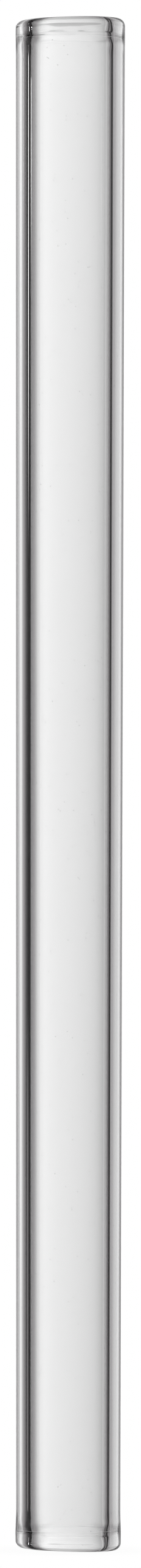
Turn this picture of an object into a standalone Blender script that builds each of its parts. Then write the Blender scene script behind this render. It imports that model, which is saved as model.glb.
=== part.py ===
"""Jacketed condenser body: an outer jacket tube and an inner vapour tube of clear glass,
welded to each other at both ends by a rounded ring seal, with the cooling water between them.

Metres, +Z up along the glass's axis. The origin is the centre of the lower rim's flat land,
so the upper rim's land lies at z = LENGTH.
"""
import math

import bpy

# Overall form
LENGTH = 0.400                # lower rim land to upper rim land
UPPER_RADIUS = 0.01430        # outside of the jacket at the upper end
LOWER_RADIUS = 0.01362        # outside of the jacket at the lower end; the drawn tube tapers

# Walls, as shares of the jacket's outside radius, so that they follow the taper
JACKET_BORE_SHARE = 0.900     # inside of the jacket
INNER_TUBE_SHARE = 0.820      # outside of the inner tube
INNER_BORE_SHARE = 0.730      # inside of the inner tube, where the vapour runs

# Ring seals
SEAL_HEIGHT = 0.0050          # rim land to weld line
WELD_GAP = 0.0003             # clearance kept at each weld line
SHOULDER_RADIUS = 0.0021      # rounded outer corner of the rim
LIP_RADIUS = 0.0016           # rounded inner edge of the mouth
MOUTH_SHARE = 0.706           # the bore draws in to this share of the radius inside the seal
MOUTH_DEPTH = 0.0032          # rim land to where the bore has drawn in
MOUTH_START_DEPTH = 0.0070    # rim land to where it starts to

# The tubes lean together towards each seal, so that the water space closes to a narrow tip
SPACE_CLOSING_DEPTH = 0.0160  # rim land to where the tubes start to lean
SPACE_END_DEPTH = 0.0044      # rim land to the centre of the tip's rounding
SPACE_TIP_SHARE = 0.845       # the tip's middle, as a share of the jacket's outside radius
SPACE_TIP_RADIUS = 0.00015
WATER_GAP = 0.0003            # clearance kept between the water and the glass round it
WATER_END_DEPTH = 0.0120      # rim land to the end of the water, where the space is still wide

# The soft glass swells a little where each seal is worked
UPPER_SWELL = 0.00010
LOWER_SWELL = 0.00024
SWELL_CENTRE = 0.0040         # distance of the swell's crest from the rim land
SWELL_REACH = 0.0070          # distance from the crest to where the swell dies out

ROUND_STEPS = 64              # facets round the axis
ARC_STEPS = 6                 # facets along each rounded edge
WALL_STEPS = 4                # facets along each swelling or narrowing stretch of a seal
LEAN_STEPS = 7                # facets along each end of a tube, where it leans

GLASS_REFRACTION = 1.473
WATER_REFRACTION = 1.333

SHARP_ANGLE = math.radians(40)
JOIN_DISTANCE = 0.00001


def clear_scene():
    for thing in list(bpy.data.objects):
        bpy.data.objects.remove(thing, do_unlink=True)


def clear_material(name, colour, roughness, refraction):
    """A see-through material with the piece's own slight tint."""
    material = bpy.data.materials.new(name)
    material.use_nodes = True
    shader = material.node_tree.nodes["Principled BSDF"]
    shader.inputs["Base Color"].default_value = (*colour, 1.0)
    shader.inputs["Roughness"].default_value = roughness
    shader.inputs["Metallic"].default_value = 0.0
    shader.inputs["IOR"].default_value = refraction
    shader.inputs["Transmission Weight"].default_value = 1.0
    return material


def glass(name, colour):
    return clear_material(name, colour, 0.03, GLASS_REFRACTION)


def water(name, colour):
    return clear_material(name, colour, 0.0, WATER_REFRACTION)


def taper_radius(height):
    """Outside radius of the plain drawn jacket at a height above the lower rim."""
    return LOWER_RADIUS + (UPPER_RADIUS - LOWER_RADIUS) * height / LENGTH


def rim_depth(height):
    """Distance below the nearer rim's land."""
    return min(height, LENGTH - height)


def ease(value, start, end):
    """0 at start, 1 at end, and smooth between them."""
    share = min(max((value - start) / (end - start), 0.0), 1.0)
    return 0.5 * (1 - math.cos(math.pi * share))


def swell(height):
    """How far the glass stands proud of the plain taper near its two ends."""
    reach = abs(rim_depth(height) - SWELL_CENTRE) / SWELL_REACH
    if reach > 1:
        return 0.0
    crest = LOWER_SWELL if height < LENGTH / 2 else UPPER_SWELL
    return crest * 0.5 * (1 + math.cos(math.pi * reach))


def closing(height):
    """How far the water space has closed: 0 between the plain tubes, 1 at its tip."""
    return ease(rim_depth(height), SPACE_CLOSING_DEPTH, SPACE_END_DEPTH)


def jacket_outside(height):
    return taper_radius(height) + swell(height)


def jacket_inside(height):
    plain = JACKET_BORE_SHARE * taper_radius(height) + swell(height)
    tip = SPACE_TIP_SHARE * taper_radius(height) + SPACE_TIP_RADIUS
    return plain + (tip - plain) * closing(height)


def inner_tube_outside(height):
    plain = INNER_TUBE_SHARE * taper_radius(height)
    tip = SPACE_TIP_SHARE * taper_radius(height) - SPACE_TIP_RADIUS
    return plain + (tip - plain) * closing(height)


def bore(height):
    drawn_in = ease(rim_depth(height), MOUTH_START_DEPTH, MOUTH_DEPTH)
    return (INNER_BORE_SHARE + (MOUTH_SHARE - INNER_BORE_SHARE) * drawn_in) * taper_radius(height)


def steps_between(start, end, count):
    """Evenly spaced values from start to end, both included."""
    return [start + (end - start) * index / count for index in range(count + 1)]


def arc(centre, radius, start_degrees, end_degrees):
    """Points (radius, height) of a round stretch of a turned profile."""
    points = []
    for degrees in steps_between(start_degrees, end_degrees, ARC_STEPS):
        angle = math.radians(degrees)
        points.append((centre[0] + radius * math.cos(angle), centre[1] + radius * math.sin(angle)))
    return points


def turned(name, profile, material):
    """Turn a closed profile of (radius, height) points round +Z.

    The profile runs down the outer side and up the inner side.
    """
    mesh = bpy.data.meshes.new(name)
    edges = [(index, (index + 1) % len(profile)) for index in range(len(profile))]
    mesh.from_pydata([(radius, 0.0, height) for radius, height in profile], edges, [])
    piece = bpy.data.objects.new(name, mesh)
    bpy.context.scene.collection.objects.link(piece)
    mesh.materials.append(material)

    screw = piece.modifiers.new("Turning", "SCREW")
    screw.axis = "Z"
    screw.angle = math.tau
    screw.steps = ROUND_STEPS
    screw.render_steps = ROUND_STEPS
    screw.use_merge_vertices = True
    screw.merge_threshold = JOIN_DISTANCE
    screw.use_smooth_shade = True
    return piece


def straight_tube(name, outside, inside, material):
    """A drawn tube that runs from one ring seal's weld line to the other's."""
    end = SEAL_HEIGHT + WELD_GAP
    low_end = steps_between(end, SPACE_CLOSING_DEPTH, LEAN_STEPS)
    high_end = steps_between(LENGTH - SPACE_CLOSING_DEPTH, LENGTH - end, LEAN_STEPS)
    heights = low_end + high_end
    outer_side = [(outside(height), height) for height in reversed(heights)]
    inner_side = [(inside(height), height) for height in heights]
    return turned(name, outer_side + inner_side, material)


def seal_profile(height_at):
    """Profile of a ring seal as (radius, depth) points, with depth measured from the rim land.

    height_at turns a depth into a height, which the tapered radii need.
    """
    def side(radius_at, start, end):
        depths = steps_between(start, end, WALL_STEPS)
        return [(radius_at(height_at(depth)), -depth) for depth in depths]

    corner = jacket_outside(height_at(SHOULDER_RADIUS)) - SHOULDER_RADIUS
    shoulder = arc((corner, -SHOULDER_RADIUS), SHOULDER_RADIUS, 90, 0)
    outer_wall = side(jacket_outside, SHOULDER_RADIUS, SEAL_HEIGHT)[1:]

    tip_middle = SPACE_TIP_SHARE * taper_radius(height_at(SPACE_END_DEPTH))
    water_space = [(jacket_inside(height_at(SEAL_HEIGHT)), -SEAL_HEIGHT)]
    water_space += arc((tip_middle, -SPACE_END_DEPTH), SPACE_TIP_RADIUS, 0, 180)
    water_space += [(inner_tube_outside(height_at(SEAL_HEIGHT)), -SEAL_HEIGHT)]

    mouth = side(bore, SEAL_HEIGHT, LIP_RADIUS)[:-1]
    lip = arc((bore(height_at(LIP_RADIUS)) + LIP_RADIUS, -LIP_RADIUS), LIP_RADIUS, 180, 90)
    return shoulder + outer_wall + water_space + mouth + lip


def upper_ring_seal(material):
    profile = seal_profile(lambda depth: LENGTH - depth)
    points = [(radius, LENGTH + below) for radius, below in profile]
    return turned("upper_ring_seal", points, material)


def lower_ring_seal(material):
    """The upper seal's shape turned over, on the lower end's smaller radii."""
    profile = seal_profile(lambda depth: depth)
    points = [(radius, -below) for radius, below in reversed(profile)]
    return turned("lower_ring_seal", points, material)


def cooling_water(material):
    """The water between the tubes, as far as the space is wide enough to keep it clear of the glass."""
    low_end = steps_between(WATER_END_DEPTH, SPACE_CLOSING_DEPTH, WALL_STEPS)
    high_end = steps_between(LENGTH - SPACE_CLOSING_DEPTH, LENGTH - WATER_END_DEPTH, WALL_STEPS)
    heights = low_end + high_end
    outer_side = [(jacket_inside(height) - WATER_GAP, height) for height in reversed(heights)]
    inner_side = [(inner_tube_outside(height) + WATER_GAP, height) for height in heights]
    return turned("cooling_water", outer_side + inner_side, material)


def build():
    clear_scene()
    pieces = [
        straight_tube("jacket_tube", jacket_outside, jacket_inside,
                      glass("jacket_glass", (0.95, 0.96, 0.96))),
        straight_tube("inner_tube", inner_tube_outside, bore,
                      glass("inner_tube_glass", (0.93, 0.94, 0.94))),
        upper_ring_seal(glass("upper_seal_glass", (0.90, 0.91, 0.91))),
        lower_ring_seal(glass("lower_seal_glass", (0.90, 0.91, 0.91))),
        cooling_water(water("cooling_water", (0.97, 0.98, 0.98))),
    ]
    holder = bpy.data.objects.new("condenser", None)
    bpy.context.scene.collection.objects.link(holder)
    for piece in pieces:
        piece.parent = holder
        piece.data.shade_smooth()
        piece.data.set_sharp_from_angle(angle=SHARP_ANGLE)


build()
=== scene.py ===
"""Looks of the jacketed condenser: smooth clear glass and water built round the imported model."""

import math

import bpy
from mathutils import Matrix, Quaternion, Vector


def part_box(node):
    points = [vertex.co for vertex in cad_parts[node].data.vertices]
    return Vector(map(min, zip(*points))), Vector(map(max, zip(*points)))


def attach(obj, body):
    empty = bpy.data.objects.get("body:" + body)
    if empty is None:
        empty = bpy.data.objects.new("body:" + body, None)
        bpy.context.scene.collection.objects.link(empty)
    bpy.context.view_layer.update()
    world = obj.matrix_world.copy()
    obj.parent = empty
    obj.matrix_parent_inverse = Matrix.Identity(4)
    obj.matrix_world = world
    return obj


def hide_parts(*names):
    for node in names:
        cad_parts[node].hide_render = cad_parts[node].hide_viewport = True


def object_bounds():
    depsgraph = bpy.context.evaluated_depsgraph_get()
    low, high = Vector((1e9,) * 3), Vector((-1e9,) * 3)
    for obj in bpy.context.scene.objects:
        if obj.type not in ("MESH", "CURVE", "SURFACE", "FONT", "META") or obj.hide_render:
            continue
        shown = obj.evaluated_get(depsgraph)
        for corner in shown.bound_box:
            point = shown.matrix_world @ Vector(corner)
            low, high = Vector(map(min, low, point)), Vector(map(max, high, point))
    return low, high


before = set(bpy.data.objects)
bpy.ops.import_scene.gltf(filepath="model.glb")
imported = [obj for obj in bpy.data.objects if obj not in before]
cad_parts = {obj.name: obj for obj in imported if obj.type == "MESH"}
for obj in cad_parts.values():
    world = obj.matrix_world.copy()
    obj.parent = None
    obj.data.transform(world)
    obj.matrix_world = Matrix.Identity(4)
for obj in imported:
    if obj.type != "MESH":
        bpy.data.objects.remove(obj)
cad_low, cad_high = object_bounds()

BODY = "root"
MM = 0.001

# ---------------------------------------------------------------- sizes taken from the frame


def plain_wall(node, outer):
    """(height, radius) at both ends of the plain stretch of a turned CAD tube's outer or inner wall."""
    places = [vertex.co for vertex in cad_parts[node].data.vertices]
    rings = [(place.z, math.hypot(place.x, place.y)) for place in places]
    middle = (min(rings, key=lambda ring: ring[1])[1] + max(rings, key=lambda ring: ring[1])[1]) / 2
    wall = sorted(ring for ring in rings if (ring[1] > middle) == outer)
    return max(zip(wall, wall[1:]), key=lambda pair: pair[1][0] - pair[0][0])


LENGTH = cad_high.z
JACKET_LOW, JACKET_HIGH = plain_wall("jacket_tube", outer=True)
WELD_DEPTH = (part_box("lower_ring_seal")[1].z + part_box("jacket_tube")[0].z) / 2
# Where the two tubes start to lean together, measured from the rim
SPACE_CLOSING_DEPTH = plain_wall("jacket_tube", outer=False)[0][0]


def plain_radius(height):
    """Outside radius of the drawn jacket, without the swell at its ends."""
    taper = (JACKET_HIGH[1] - JACKET_LOW[1]) / (JACKET_HIGH[0] - JACKET_LOW[0])
    return JACKET_LOW[1] + taper * (height - JACKET_LOW[0])


def share_of_plain(node, outer):
    height, radius = plain_wall(node, outer)[0]
    return radius / plain_radius(height)


# Radii as shares of the jacket's plain outside radius
JACKET_BORE_SHARE = share_of_plain("jacket_tube", outer=False)
TUBE_SHARE = share_of_plain("inner_tube", outer=True)
BORE_SHARE = share_of_plain("inner_tube", outer=False)
MOUTH_SHARE = 0.706           # the bore inside the ring seal
SPACE_TIP_SHARE = 0.845       # the middle of the water space's tip

# Depths are measured from the nearer rim
MOUTH_DEPTH, MOUTH_START_DEPTH = 3.2 * MM, 7.0 * MM
SPACE_END_DEPTH = 4.4 * MM
SPACE_TIP_RADIUS = 0.045 * MM
SWELL_CENTRE, SWELL_REACH = 4.0 * MM, 7.0 * MM
UPPER_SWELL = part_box("upper_ring_seal")[1].x - plain_radius(LENGTH - SWELL_CENTRE)
LOWER_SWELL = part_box("lower_ring_seal")[1].x - plain_radius(SWELL_CENTRE)

SHOULDER_RADIUS = 2.1 * MM    # rounded outer corner of the rim
LIP_RADIUS = 1.6 * MM         # rounded inner edge of the mouth
HAIR = 0.01 * MM              # half the gap left between pieces that are fused on the real glass
SAME_POINT = HAIR / 10        # points closer together than this are one
RIM_SLOPE = math.radians(1.5)  # hand-worked rims run a little out of square, lowest at -X
SLOPE_DEPTH = 4.0 * MM        # and the slope has died out this far from the rim
# The weld wavers round the tube: waves per turn, half height and phase
WELD_WAVES = ((2, 0.14 * MM, 0.4), (5, 0.10 * MM, 1.9), (9, 0.07 * MM, 4.0), (17, 0.04 * MM, 2.2))

# Ripples of the flame-worked glass: waves per turn, depth per radian, half height and phase
RIPPLES = (
    (3, 2.1 * MM, 0.016 * MM, 0.9),
    (7, 1.1 * MM, 0.010 * MM, 2.6),
    (-11, 0.8 * MM, 0.006 * MM, 5.1),
)
RIPPLE_END = 12.0 * MM        # depth where they have died out
RIPPLE_SHIFT = 0.7 * MM       # radius per radian by which the pattern moves on from wall to wall

ROUND_STEPS = 384             # facets round the axis
ARC_STEPS = 20                # facets along each rounded edge
END_STEPS = 24                # facets along each shaped end of a wall
MIDDLE_STEPS = 24             # facets along each plain wall
SHARP_ANGLE = math.radians(40)

GLASS_REFRACTION = 1.473
WATER_REFRACTION = 1.333


def rim_depth(height):
    return min(height, LENGTH - height)


def ease(value, start, end):
    """0 at start, 1 at end, and smooth between them."""
    share = min(max((value - start) / (end - start), 0.0), 1.0)
    return 0.5 * (1 - math.cos(math.pi * share))


def swell(height):
    reach = abs(rim_depth(height) - SWELL_CENTRE) / SWELL_REACH
    if reach > 1:
        return 0.0
    crest = LOWER_SWELL if height < LENGTH / 2 else UPPER_SWELL
    return crest * 0.5 * (1 + math.cos(math.pi * reach))


def closing(height):
    """How far the water space has closed: 0 between the plain tubes, 1 at its tip."""
    return ease(rim_depth(height), SPACE_CLOSING_DEPTH, SPACE_END_DEPTH)


def jacket_outside(height):
    return plain_radius(height) + swell(height)


def jacket_inside(height):
    plain = JACKET_BORE_SHARE * plain_radius(height) + swell(height)
    tip = SPACE_TIP_SHARE * plain_radius(height) + SPACE_TIP_RADIUS
    return plain + (tip - plain) * closing(height)


def tube_outside(height):
    plain = TUBE_SHARE * plain_radius(height)
    tip = SPACE_TIP_SHARE * plain_radius(height) - SPACE_TIP_RADIUS
    return plain + (tip - plain) * closing(height)


def bore(height):
    drawn_in = ease(rim_depth(height), MOUTH_START_DEPTH, MOUTH_DEPTH)
    return (BORE_SHARE + (MOUTH_SHARE - BORE_SHARE) * drawn_in) * plain_radius(height)


def ripple(radius, depth, angle):
    """How far a worked surface sinks in: never outwards, and in another pattern on each wall."""
    wave = sum(size * math.sin(turns * angle + depth / pitch + start + radius / RIPPLE_SHIFT)
               for turns, pitch, size, start in RIPPLES)
    highest = sum(size for _, _, size, _ in RIPPLES)
    return (wave - highest) * ease(depth, RIPPLE_END, SPACE_END_DEPTH)


def worked(radius, height, angle):
    """A turned point, moved by the unevenness that hand work leaves at both ends."""
    depth = rim_depth(height)
    radius += ripple(radius, depth, angle)
    x, y = radius * math.cos(angle), radius * math.sin(angle)
    corner = plain_radius(height) - SHOULDER_RADIUS
    sunk = math.tan(RIM_SLOPE) * max(corner - x, 0.0) * ease(depth, SLOPE_DEPTH, 0.0)
    wave = sum(size * math.sin(turns * angle + start) for turns, size, start in WELD_WAVES)
    sunk += wave * ease(abs(depth - SPACE_END_DEPTH), WELD_DEPTH - SPACE_END_DEPTH, 0.0)
    return x, y, height + (sunk if height < LENGTH / 2 else -sunk)


# ---------------------------------------------------------------- materials


def add_node(tree, kind, **values):
    node = tree.nodes.new(kind)
    for name, value in values.items():
        setattr(node, name, value)
    return node


def math_node(tree, operation, *inputs):
    node = add_node(tree, "ShaderNodeMath", operation=operation)
    for index, value in enumerate(inputs):
        if isinstance(value, (int, float)):
            node.inputs[index].default_value = value
        else:
            tree.links.new(value, node.inputs[index])
    return node.outputs[0]


def mix_node(tree, factor, first, second):
    """Blend two colours, each a socket or a plain value, by a factor from 0 to 1."""
    node = add_node(tree, "ShaderNodeMix", data_type="RGBA")
    tree.links.new(factor, node.inputs["Factor"])
    for name, colour in (("A", first), ("B", second)):
        if isinstance(colour, tuple):
            node.inputs[name].default_value = (*colour, 1.0)
        else:
            tree.links.new(colour, node.inputs[name])
    return node.outputs["Result"]


TINT = (0.998, 0.998, 0.998)
CLOUD_TINT = tuple(0.996 * channel for channel in TINT)
CLOUDS_PER_METRE = 60.0
GRAINS_PER_METRE = 400.0
GRAIN_RADIUS = 0.10 * MM
GRAIN_COLOUR = (0.12, 0.12, 0.12)
STREAKS_PER_METRE = 900.0
STREAK_STRETCH = (1.0, 1.0, 0.012)  # drawing the tube pulls its streaks out along it
STREAK_STRENGTH, STREAK_HEIGHT = 0.1, 0.01 * MM


def dusty(tree, where, clean):
    """A surface colour with a few small grains of dust on it."""
    grains = add_node(tree, "ShaderNodeTexVoronoi")
    grains.inputs["Scale"].default_value = GRAINS_PER_METRE
    tree.links.new(where, grains.inputs["Vector"])
    near = math_node(tree, "LESS_THAN", grains.outputs["Distance"], GRAIN_RADIUS * GRAINS_PER_METRE)
    return mix_node(tree, near, clean, GRAIN_COLOUR)


def streaked_normal(tree, where):
    stretch = add_node(tree, "ShaderNodeMapping")
    stretch.inputs["Scale"].default_value = STREAK_STRETCH
    tree.links.new(where, stretch.inputs["Vector"])
    streaks = add_node(tree, "ShaderNodeTexNoise")
    streaks.inputs["Scale"].default_value = STREAKS_PER_METRE
    tree.links.new(stretch.outputs["Vector"], streaks.inputs["Vector"])
    bump = add_node(tree, "ShaderNodeBump")
    bump.inputs["Strength"].default_value = STREAK_STRENGTH
    bump.inputs["Distance"].default_value = STREAK_HEIGHT
    tree.links.new(streaks.outputs["Fac"], bump.inputs["Height"])
    return bump.outputs["Normal"]


def clear_material(name, refraction, surface):
    """Polished glass or water. An open surface also shows drawn streaks and a few grains of dust."""
    material = bpy.data.materials.new(name)
    material.use_nodes = True
    tree = material.node_tree
    shader = tree.nodes["Principled BSDF"]
    shader.inputs["Transmission Weight"].default_value = 1.0
    shader.inputs["IOR"].default_value = refraction
    shader.inputs["Roughness"].default_value = 0.0
    where = add_node(tree, "ShaderNodeTexCoord").outputs["Object"]
    cloud = add_node(tree, "ShaderNodeTexNoise")
    cloud.inputs["Scale"].default_value = CLOUDS_PER_METRE
    tree.links.new(where, cloud.inputs["Vector"])
    colour = mix_node(tree, cloud.outputs["Fac"], CLOUD_TINT, TINT)
    if surface:
        colour = dusty(tree, where, colour)
        tree.links.new(streaked_normal(tree, where), shader.inputs["Normal"])
    tree.links.new(colour, shader.inputs["Base Color"])
    return material


# A turned piece's faces meet the air, the water, or the glass they are fused to.
AIR, WATER, WELD = 0, 1, 2
GLASS_FACES = (
    clear_material("dry_glass", GLASS_REFRACTION, surface=True),
    clear_material("wet_glass", GLASS_REFRACTION / WATER_REFRACTION, surface=False),
    clear_material("fused_glass", 1.0, surface=False),
)
STILL_WATER = clear_material("still_water", 1.0, surface=False)

# ---------------------------------------------------------------- turned shapes


def spread(start, end, count):
    """Evenly spaced values from start to end, both included."""
    return [start + (end - start) * index / count for index in range(count + 1)]


def arc(centre, radius, start_degrees, end_degrees):
    """Points (radius, height) of a round stretch of a turned profile."""
    points = []
    for degrees in spread(start_degrees, end_degrees, ARC_STEPS):
        angle = math.radians(degrees)
        points.append((centre[0] + radius * math.cos(angle), centre[1] + radius * math.sin(angle)))
    return points


def turned(name, node, materials, stretches):
    """Turn a closed profile round +Z. Each stretch is (face kind, points of radius and height).

    The stretches run down the outer side and up the inner side, and each starts where the one
    before it ends.
    """
    points = []
    kinds = []                # kinds[i] belongs to the side that arrives at points[i]
    for kind, stretch in stretches:
        for point in stretch:
            if not points or math.dist(points[-1], point) > SAME_POINT:
                points.append(point)
                kinds.append(kind)
    if math.dist(points[0], points[-1]) < SAME_POINT:
        points.pop()
        kinds[0] = kinds.pop()
    else:
        kinds[0] = stretches[-1][0]

    count = len(points)
    vertices = []
    faces = []
    slots = []
    for turn in range(ROUND_STEPS):
        angle = math.tau * turn / ROUND_STEPS
        vertices += [worked(radius, height, angle) for radius, height in points]
        here, there = turn * count, (turn + 1) % ROUND_STEPS * count
        for index in range(count):
            after = (index + 1) % count
            faces.append((here + after, there + after, there + index, here + index))
            slots.append(kinds[after])
    mesh = bpy.data.meshes.new(name)
    mesh.from_pydata(vertices, [], faces)
    for material in materials:
        mesh.materials.append(material)
    mesh.polygons.foreach_set("material_index", slots)
    mesh.shade_smooth()
    mesh.set_sharp_from_angle(angle=SHARP_ANGLE)
    mesh.update()
    piece = bpy.data.objects.new(name, mesh)
    bpy.context.scene.collection.objects.link(piece)
    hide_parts(node)
    return piece


def side(radius_at, heights):
    """Points (radius, height) of a wall whose radius changes with its height."""
    return [(radius_at(height), height) for height in heights]


def tube_heights(end):
    """Heights along a tube, close together where its ends are shaped and far apart between them."""
    low = spread(end, SPACE_CLOSING_DEPTH, END_STEPS)
    high = [LENGTH - height for height in reversed(low)]
    return low[:-1] + spread(low[-1], high[0], MIDDLE_STEPS) + high[1:]


def straight_tube(name, node, outside, inside, outer_kind, inner_kind):
    heights = tube_heights(WELD_DEPTH + HAIR)
    outer = side(outside, reversed(heights))
    inner = side(inside, heights)
    return turned(name, node, GLASS_FACES, [
        (outer_kind, outer),
        (WELD, [outer[-1], inner[0]]),
        (inner_kind, inner),
        (WELD, [inner[-1], outer[0]]),
    ])


def water_sleeve(name, node):
    heights = tube_heights(SPACE_END_DEPTH + HAIR)
    outer = [(radius - HAIR, height) for radius, height in side(jacket_inside, reversed(heights))]
    inner = [(radius + HAIR, height) for radius, height in side(tube_outside, heights)]
    return turned(name, node, (STILL_WATER,), [(0, outer + inner)])


def ring_seal(name, node, height_at):
    """A ring seal. height_at turns a depth below its rim into a height."""
    def depth_side(radius_at, start, end):
        return [(radius_at(height_at(depth)), depth) for depth in spread(start, end, END_STEPS)]

    weld = WELD_DEPTH - HAIR
    corner = jacket_outside(height_at(SHOULDER_RADIUS)) - SHOULDER_RADIUS
    tip = SPACE_TIP_SHARE * plain_radius(height_at(SPACE_END_DEPTH))
    mouth = bore(height_at(LIP_RADIUS)) + LIP_RADIUS
    shoulder = arc((corner, SHOULDER_RADIUS), SHOULDER_RADIUS, -90, 0)
    outer = shoulder + depth_side(jacket_outside, SHOULDER_RADIUS, weld)
    space = depth_side(jacket_inside, weld, SPACE_END_DEPTH)
    space += arc((tip, SPACE_END_DEPTH), SPACE_TIP_RADIUS, 0, -180)
    space += depth_side(tube_outside, SPACE_END_DEPTH, weld)
    inner = depth_side(bore, weld, LIP_RADIUS) + arc((mouth, LIP_RADIUS), LIP_RADIUS, 180, 270)
    stretches = [
        (AIR, outer),
        (WELD, [outer[-1], space[0]]),
        (WATER, space),
        (WELD, [space[-1], inner[0]]),
        (AIR, inner + [outer[0]]),
    ]
    placed = [(kind, [(radius, height_at(depth)) for radius, depth in points])
              for kind, points in stretches]
    if height_at(0.0) < LENGTH / 2:
        placed = [(kind, points[::-1]) for kind, points in reversed(placed)]
    return turned(name, node, GLASS_FACES, placed)


# ---------------------------------------------------------------- stage, light and camera


def soft_step(tree, value, start, end):
    node = add_node(tree, "ShaderNodeMapRange", interpolation_type="SMOOTHSTEP")
    tree.links.new(value, node.inputs["Value"])
    node.inputs["From Min"].default_value = start
    node.inputs["From Max"].default_value = end
    return node.outputs["Result"]


def vector_node(tree, operation, first, second):
    node = add_node(tree, "ShaderNodeVectorMath", operation=operation)
    for index, value in enumerate((first, second)):
        if isinstance(value, tuple):
            node.inputs[index].default_value = value
        else:
            tree.links.new(value, node.inputs[index])
    return node.outputs["Value" if operation == "DOT_PRODUCT" else "Vector"]


def camera_axis(tree, direction):
    """A direction fixed to the camera, as the world sees it."""
    node = add_node(tree, "ShaderNodeVectorTransform", vector_type="VECTOR",
                    convert_from="CAMERA", convert_to="WORLD")
    node.inputs["Vector"].default_value = direction
    return node.outputs["Vector"]


def ray_angles(tree):
    """How far a ray turns right of, and rises above, the way the camera looks, in degrees.

    The studio goes round with the camera, as it does when an object stands on a turntable.
    """
    ray = add_node(tree, "ShaderNodeTexCoord").outputs["Generated"]
    right = camera_axis(tree, (1.0, 0.0, 0.0))
    level_ahead = vector_node(tree, "CROSS_PRODUCT", (0.0, 0.0, 1.0), right)
    azimuth = math_node(tree, "ARCTAN2", vector_node(tree, "DOT_PRODUCT", ray, right),
                        vector_node(tree, "DOT_PRODUCT", ray, level_ahead))
    ahead = vector_node(tree, "CROSS_PRODUCT", camera_axis(tree, (0.0, 1.0, 0.0)), right)
    rises = [math_node(tree, "ARCSINE", vector_node(tree, "DOT_PRODUCT", way, (0.0, 0.0, 1.0)))
             for way in (ray, ahead)]
    rise = math_node(tree, "SUBTRACT", *rises)
    return math_node(tree, "DEGREES", azimuth), math_node(tree, "DEGREES", rise)


# A softly lit screen stands behind the glass, a dim wall to the left of it, and the rest of the
# studio is dark. Angles are degrees to the right of the glass, and brightness 1 is plain white.
UPRIGHT = 90.0
SCREEN_LEFT, SCREEN_RIGHT = -15.3, 46.9
SCREEN_LEFT_BLUR, SCREEN_RIGHT_BLUR = 7.9, 0.5
SCREEN_LEFT_LEVEL, SCREEN_RIGHT_LEVEL = 1.124, 0.207
SHADE_LEFT, SHADE_LEVEL = -46.0, 0.441
DARK = 0.012
# The light falls off above and below the screen: angle from level, and share of the level light
FALL_OFF = ((10.5, 1.0), (16.0, 0.72), (24.0, 0.66), (40.0, 0.60), (70.0, 0.35))
# Near level it is also a little brighter above than below: level straight ahead, and gain per degree
LEVEL_AHEAD, CLIMB, CLIMB_REACH = 1.035, 0.008, 5.0
# Its dim parts are very slightly warm; light of this level and above is neutral
DIM_TINT, WHITE, NEUTRAL_LEVEL = (1.035, 0.965, 1.0), (1.0, 1.0, 1.0), 0.6
# Narrow lamps beside the screen: azimuth, half width, level, and the rise where each one starts,
# is full, starts to fade and is gone
ALL_HEIGHTS = (-181.0, -180.0, 180.0, 181.0)   # no ray rises past these
LAMPS = (
    (-50.5, 0.8, 1.90, (1.0, 2.2, 6.0, 9.0)),
    (-62.0, 1.0, 2.40, (2.3, 3.0, 3.3, 3.6)),
    (-48.5, 1.8, 0.22, (-9.0, -6.0, -1.8, -1.0)),
    (57.7, 2.5, 0.19, ALL_HEIGHTS),
    (73.5, 2.0, 0.99, ALL_HEIGHTS),
)


def screen_light(tree, azimuth):
    """The bright screen, which fades from left to right, and the dim wall to the left of it."""
    left = soft_step(tree, azimuth, SCREEN_LEFT - SCREEN_LEFT_BLUR, SCREEN_LEFT + SCREEN_LEFT_BLUR)
    right = soft_step(tree, azimuth, SCREEN_RIGHT + SCREEN_RIGHT_BLUR, SCREEN_RIGHT - SCREEN_RIGHT_BLUR)
    fade = add_node(tree, "ShaderNodeMapRange")
    tree.links.new(azimuth, fade.inputs["Value"])
    fade.inputs["From Min"].default_value = SCREEN_LEFT
    fade.inputs["From Max"].default_value = SCREEN_RIGHT
    fade.inputs["To Min"].default_value = SCREEN_LEFT_LEVEL
    fade.inputs["To Max"].default_value = SCREEN_RIGHT_LEVEL
    screen = math_node(tree, "MULTIPLY", math_node(tree, "MULTIPLY", left, right), fade.outputs["Result"])
    beside = math_node(tree, "MULTIPLY", math_node(tree, "SUBTRACT", 1.0, left), SHADE_LEVEL)
    shade = math_node(tree, "MULTIPLY", soft_step(tree, azimuth, SHADE_LEFT, SCREEN_LEFT), beside)
    return math_node(tree, "ADD", math_node(tree, "ADD", screen, shade), DARK)


def lamp_light(tree, azimuth, rise, lamp):
    centre, half, level, (start, full, fading, gone) = lamp
    off = math_node(tree, "ABSOLUTE", math_node(tree, "SUBTRACT", azimuth, centre))
    light = math_node(tree, "MULTIPLY", soft_step(tree, off, 2 * half, 0.0), level)
    light = math_node(tree, "MULTIPLY", light, soft_step(tree, rise, start, full))
    return math_node(tree, "MULTIPLY", light, soft_step(tree, rise, gone, fading))


def light_by_rise(tree, rise):
    """The share of the light that is left at a ray's rise above or below level."""
    fall = add_node(tree, "ShaderNodeValToRGB")
    off_level = math_node(tree, "ABSOLUTE", rise)
    tree.links.new(math_node(tree, "DIVIDE", off_level, UPRIGHT), fall.inputs["Fac"])
    stops = fall.color_ramp.elements
    while len(stops) < len(FALL_OFF):
        stops.new(1.0)
    for stop, (angle, share) in zip(stops, FALL_OFF):
        stop.position = angle / UPRIGHT
        stop.color = (share, share, share, 1.0)
    climb = math_node(tree, "MINIMUM", math_node(tree, "MAXIMUM", rise, -CLIMB_REACH), CLIMB_REACH)
    gain = math_node(tree, "ADD", math_node(tree, "MULTIPLY", climb, CLIMB), LEVEL_AHEAD)
    return math_node(tree, "MULTIPLY", fall.outputs["Color"], gain)


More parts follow.
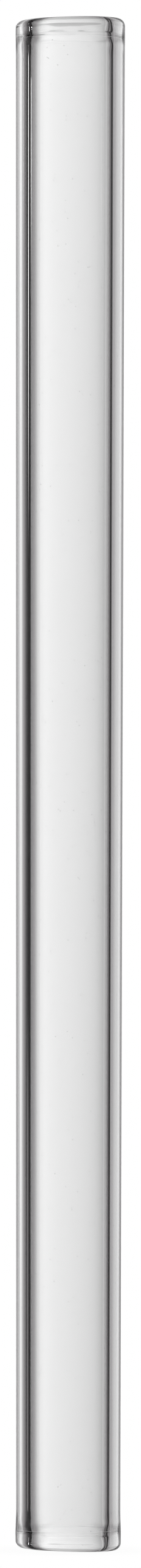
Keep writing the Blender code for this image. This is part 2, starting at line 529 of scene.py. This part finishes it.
def studio_light():
    """Light for the glass to bend and mirror. The camera itself sees plain white behind it."""
    world = bpy.data.worlds.new("studio")
    bpy.context.scene.world = world
    world.use_nodes = True
    tree = world.node_tree
    tree.nodes.clear()
    azimuth, rise = ray_angles(tree)
    total = screen_light(tree, azimuth)
    for lamp in LAMPS:
        total = math_node(tree, "ADD", total, lamp_light(tree, azimuth, rise, lamp))
    total = math_node(tree, "MULTIPLY", total, light_by_rise(tree, rise))
    tinted = add_node(tree, "ShaderNodeVectorMath", operation="SCALE")
    brightness = math_node(tree, "DIVIDE", total, NEUTRAL_LEVEL)
    tree.links.new(mix_node(tree, brightness, DIM_TINT, WHITE), tinted.inputs["Vector"])
    tree.links.new(total, tinted.inputs["Scale"])
    direct = add_node(tree, "ShaderNodeLightPath").outputs["Is Camera Ray"]
    background = add_node(tree, "ShaderNodeBackground")
    seen = mix_node(tree, direct, tinted.outputs["Vector"], WHITE)
    tree.links.new(seen, background.inputs["Color"])
    output = add_node(tree, "ShaderNodeOutputWorld")
    tree.links.new(background.outputs[0], output.inputs["Surface"])
    world.cycles.sampling_method = "NONE"


FLOOR_HALF_WIDTH = 20.0       # metres, so that its edge is never in the picture
# The painted contact shadow on the floor fades out between these distances from the glass's axis
PAINTED_SHADOW_START, PAINTED_SHADOW_END = 11.0 * MM, 32.0 * MM
# Glow left in the middle of the painted contact shadow
PAINTED_SHADOW_LEVEL = 0.975


def pale_floor_with_painted_shadow():
    """A white floor with a faint painted contact shadow round the glass's foot. The glass itself mirrors
    and bends only the studio.
    """
    reach = FLOOR_HALF_WIDTH
    corners = [(-reach, -reach), (reach, -reach), (reach, reach), (-reach, reach)]
    mesh = bpy.data.meshes.new("floor")
    mesh.from_pydata([(x, y, cad_low.z - HAIR) for x, y in corners], [], [(0, 1, 2, 3)])
    material = bpy.data.materials.new("pale_floor_with_painted_shadow")
    material.use_nodes = True
    tree = material.node_tree
    tree.nodes.clear()
    where = add_node(tree, "ShaderNodeTexCoord").outputs["Object"]
    flat = vector_node(tree, "MULTIPLY", where, (1.0, 1.0, 0.0))
    away = add_node(tree, "ShaderNodeVectorMath", operation="LENGTH")
    tree.links.new(flat, away.inputs[0])
    # Painted contact shadow: the floor's glow is dimmed near the glass's axis
    outside_painted_shadow = soft_step(tree, away.outputs["Value"], PAINTED_SHADOW_START, PAINTED_SHADOW_END)
    level = math_node(tree, "ADD", math_node(tree, "MULTIPLY", outside_painted_shadow, 1.0 - PAINTED_SHADOW_LEVEL), PAINTED_SHADOW_LEVEL)
    light = add_node(tree, "ShaderNodeEmission")
    tree.links.new(level, light.inputs["Strength"])
    output = add_node(tree, "ShaderNodeOutputMaterial")
    tree.links.new(light.outputs[0], output.inputs["Surface"])
    mesh.materials.append(material)
    floor = bpy.data.objects.new("floor", mesh)
    bpy.context.scene.collection.objects.link(floor)
    for kind in ("diffuse", "glossy", "transmission", "volume_scatter", "shadow"):
        setattr(floor, "visible_" + kind, False)


FRAME_PIXELS = (232, 2576)
PHOTO_LENGTH_SHARE = 0.977    # the glass's share of the picture's height
CAMERA_DISTANCE = 7.84 * LENGTH
CAMERA_DROP = 0.0475 * LENGTH  # how far the camera stands below the glass's middle
AXIS_OFFSET = 0.33 * MM       # how far to the right of the glass's axis it aims
AXIS_LEAN = math.radians(0.085)  # how far it is rolled against the glass's axis
LENS = 50.0


def photo_camera():
    data = bpy.data.cameras.new("camera")
    camera = bpy.data.objects.new("camera", data)
    bpy.context.scene.collection.objects.link(camera)
    bpy.context.scene.camera = camera
    target = Vector((AXIS_OFFSET, 0.0, LENGTH / 2))
    camera.location = Vector((AXIS_OFFSET, -CAMERA_DISTANCE, LENGTH / 2 - CAMERA_DROP))
    aim = (target - camera.location).to_track_quat("-Z", "Y")
    camera.rotation_mode = "QUATERNION"
    camera.rotation_quaternion = aim @ Quaternion((0.0, 0.0, 1.0), AXIS_LEAN)
    half_height = LENGTH / 2 / PHOTO_LENGTH_SHARE
    data.lens = LENS
    data.sensor_fit = "VERTICAL"
    data.sensor_height = 2 * LENS * half_height / CAMERA_DISTANCE
    data.sensor_width = data.sensor_height * FRAME_PIXELS[1] / FRAME_PIXELS[0]
    data.clip_end = 4 * CAMERA_DISTANCE


BOUNCES = 32                  # a ray crosses up to eight walls, and some are mirrored many times


def render_look():
    scene = bpy.context.scene
    scene.view_settings.view_transform = "Standard"
    scene.cycles.use_denoising = True
    scene.cycles.max_bounces = BOUNCES
    scene.cycles.transmission_bounces = BOUNCES
    scene.cycles.glossy_bounces = BOUNCES
    scene.cycles.transparent_max_bounces = BOUNCES
    scene.cycles.caustics_refractive = True
    scene.cycles.caustics_reflective = True
    scene.cycles.blur_glossy = 0.0
    scene.cycles.sample_clamp_indirect = 0.0


# ---------------------------------------------------------------- assembly

pieces = {
    "jacket_glass": straight_tube(
        "jacket_tube_glass", "jacket_tube", jacket_outside, jacket_inside, AIR, WATER),
    "inner_tube_glass": straight_tube(
        "inner_tube_clear", "inner_tube", tube_outside, bore, WATER, AIR),
    "upper_seal_glass": ring_seal(
        "upper_ring_seal_glass", "upper_ring_seal", lambda depth: LENGTH - depth),
    "lower_seal_glass": ring_seal(
        "lower_ring_seal_glass", "lower_ring_seal", lambda depth: depth),
    "cooling_water": water_sleeve("water_in_jacket", "cooling_water"),
}
for slot, piece in pieces.items():
    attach(piece, BODY)

pale_floor_with_painted_shadow()
studio_light()
photo_camera()
render_look()
